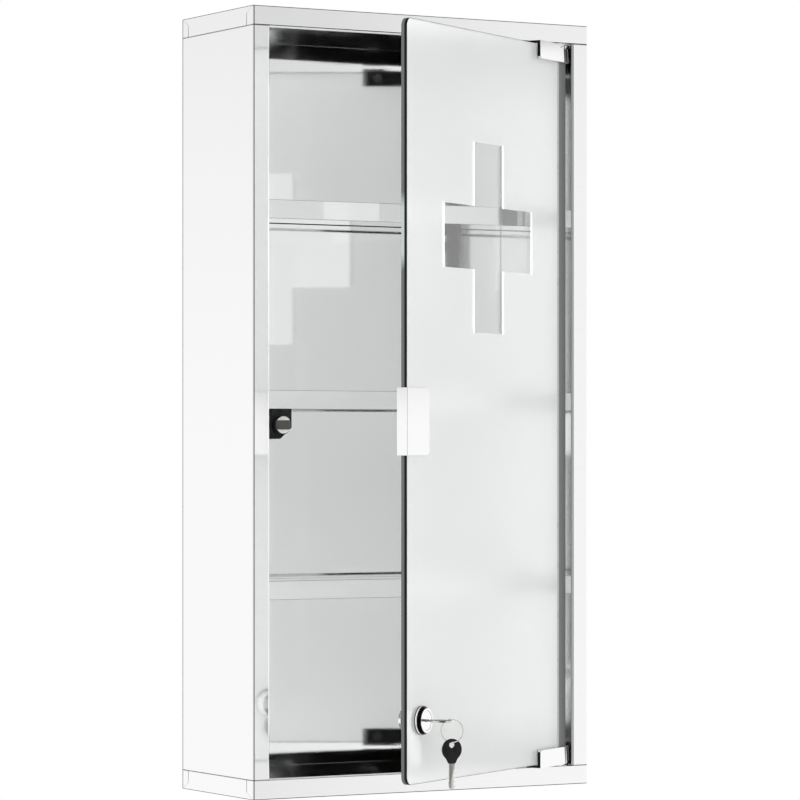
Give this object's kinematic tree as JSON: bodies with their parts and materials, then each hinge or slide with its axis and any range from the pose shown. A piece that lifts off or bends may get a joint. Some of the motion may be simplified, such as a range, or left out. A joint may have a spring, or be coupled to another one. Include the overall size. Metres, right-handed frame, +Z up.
{
  "type": "medicine cabinet",
  "caption": "Wall-hung polished steel medicine cabinet with fixed shelves and a frosted glass door on pivots, with clip handle, magnetic catch, cam lock and keys.",
  "frame": {"origin": "centre of the wall face, the rear of the back panel", "axes": "+X to the right as seen from the front, +Y into the wall, +Z up"},
  "size_m": [0.3, 0.2635, 0.6],
  "materials": {
    "polished_steel": "polished, faint grain",
    "frosted_glass": "acid-frosted with a clear window",
    "chrome": "bright plated",
    "nickel_steel": "nickel plated",
    "black_plate": "satin black",
    "black_plastic": "moulded, satin",
    "white_plastic": "moulded, satin",
    "clear_liner": "soft clear vinyl",
    "grey_rubber": "matt",
    "magnet": "ferrite, dull"
  },
  "bodies": {
    "cabinet": {"top_tray": "polished_steel", "bottom_tray": "polished_steel", "left_side_panel": "polished_steel", "right_side_panel": "polished_steel", "back_panel": "polished_steel", "upper_shelf": "polished_steel", "middle_shelf": "polished_steel", "lower_shelf": "polished_steel", "upper_pivot_bush": "white_plastic", "lower_pivot_bush": "white_plastic", "catch_housing": "black_plastic", "catch_magnet": "magnet", "catch_pole_plates": "nickel_steel", "catch_screws": "nickel_steel"},
    "door": {"door_glass": "frosted_glass", "upper_hinge_clip": "chrome", "lower_hinge_clip": "chrome", "upper_hinge_plate": "black_plate", "lower_hinge_plate": "black_plate", "hinge_liners": "clear_liner", "hinge_screws": "nickel_steel", "upper_pivot_pin": "nickel_steel", "lower_pivot_pin": "nickel_steel", "handle_clip": "chrome", "handle_pad": "clear_liner", "lock_body": "chrome", "lock_gasket": "grey_rubber", "lock_washer": "grey_rubber", "lock_nut": "chrome"},
    "lock_core": {"lock_plug": "chrome", "lock_cam": "nickel_steel", "cam_washer": "nickel_steel", "cam_screw": "nickel_steel"},
    "key": {"key_bow": "black_plastic", "key_blade": "nickel_steel"},
    "ring": {"key_ring": "nickel_steel"},
    "spare_key": {"spare_key_bow": "black_plastic", "spare_key_blade": "nickel_steel"}
  },
  "joints": [
    {"name": "door_swing", "type": "hinge", "parent": "cabinet", "child": "door", "pos_m": [0.1248, -0.11466, 0], "axis": [0, 0, 1], "range_deg": [-31, 64]},
    {"name": "lock_turn", "type": "hinge", "parent": "door", "child": "lock_core", "pos_m": [-0.07329, -0.23369, -0.2352], "axis": [-0.515, 0.8572, 0], "range_deg": [0, 90]},
    {"name": "key_pull", "type": "slide", "parent": "lock_core", "child": "key", "axis": [0.515, -0.8572, 0], "range_m": [0, 0.02]},
    {"name": "ring_swivel", "type": "hinge", "parent": "key", "child": "ring", "pos_m": [-0.0616, -0.25314, -0.2352], "axis": [0, 0, 1], "range_deg": [-20, 20]},
    {"name": "spare_key_swing", "type": "hinge", "parent": "ring", "child": "spare_key", "pos_m": [-0.05834, -0.25677, -0.25066], "axis": [0.6691, -0.7431, 0], "range_deg": [-25, 25]}
  ]
}
